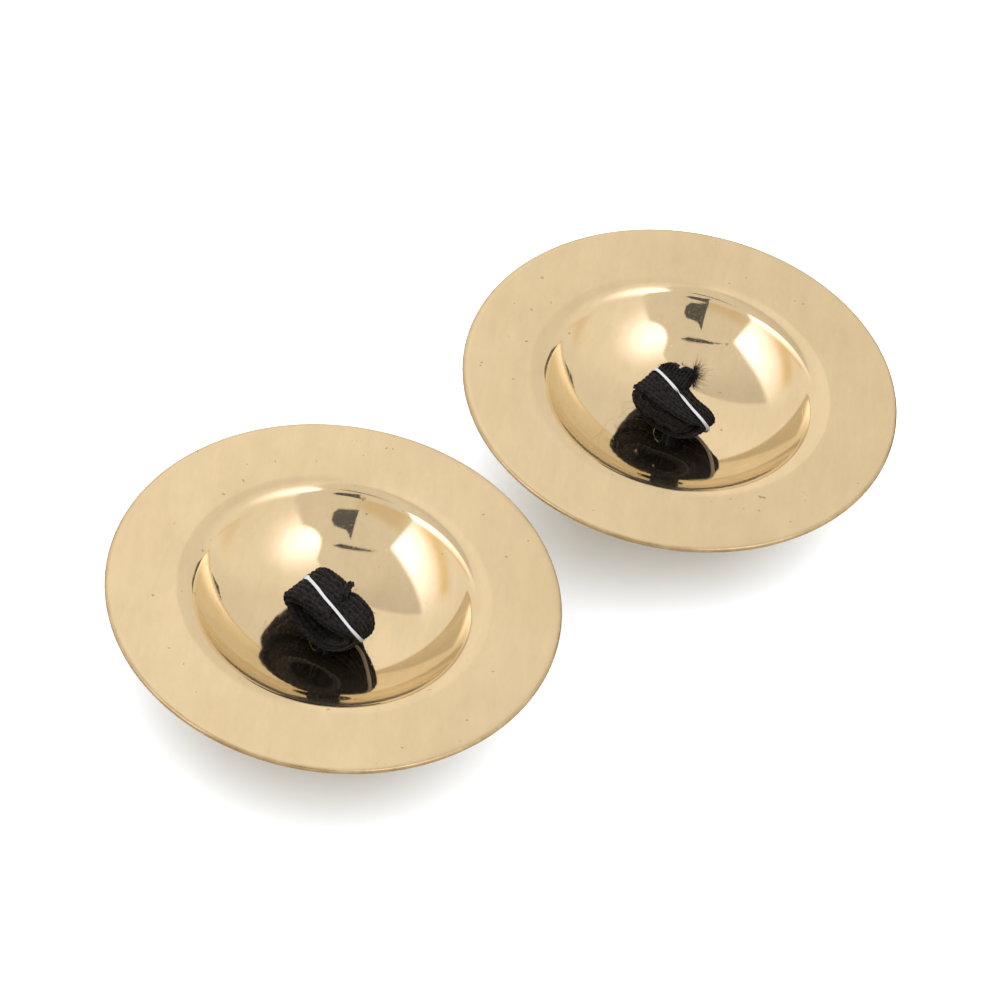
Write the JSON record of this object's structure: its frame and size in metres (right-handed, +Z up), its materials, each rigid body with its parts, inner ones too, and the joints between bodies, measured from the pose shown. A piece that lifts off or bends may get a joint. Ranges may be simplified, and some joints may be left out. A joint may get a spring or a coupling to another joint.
{
  "type": "finger cymbals",
  "caption": "Finger cymbals with domed, flat-rimmed brass discs lying hollow side up, each with a black elastic finger loop threaded through its middle.",
  "frame": {"origin": "middle of the footprint of the pair, on the surface that both finger loops rest on", "axes": "+Z up, out of the bowls; +Y runs from cymbal A's side to cymbal B's, which also lies towards +X of it"},
  "size_m": [0.1004, 0.1084, 0.0185],
  "materials": {
    "brass": "polished",
    "elastic": "ribbed braid",
    "band": "satin"
  },
  "bodies": {
    "cymbal_a": {"disc_a": "brass"},
    "strap_a": {"finger_loop_a": "elastic", "strap_roll_a": "elastic", "strap_tail_a": "elastic", "binding_band_a": "band"},
    "cymbal_b": {"disc_b": "brass"},
    "strap_b": {"finger_loop_b": "elastic", "strap_roll_b": "elastic", "strap_tail_b": "elastic", "binding_band_b": "band"}
  },
  "joints": [
    {"name": "strap_a_swivel", "type": "hinge", "parent": "cymbal_a", "child": "strap_a", "pos_m": [-0.02025, -0.0242, 0.008], "axis": [0, 0, 1], "continuous": true},
    {"name": "cymbal_b_lift", "type": "slide", "parent": "cymbal_a", "child": "cymbal_b", "axis": [0, 0, 1], "range_m": [0, 0.06]},
    {"name": "strap_b_swivel", "type": "hinge", "parent": "cymbal_b", "child": "strap_b", "pos_m": [0.02025, 0.0242, 0.008], "axis": [0, 0, 1], "continuous": true}
  ]
}
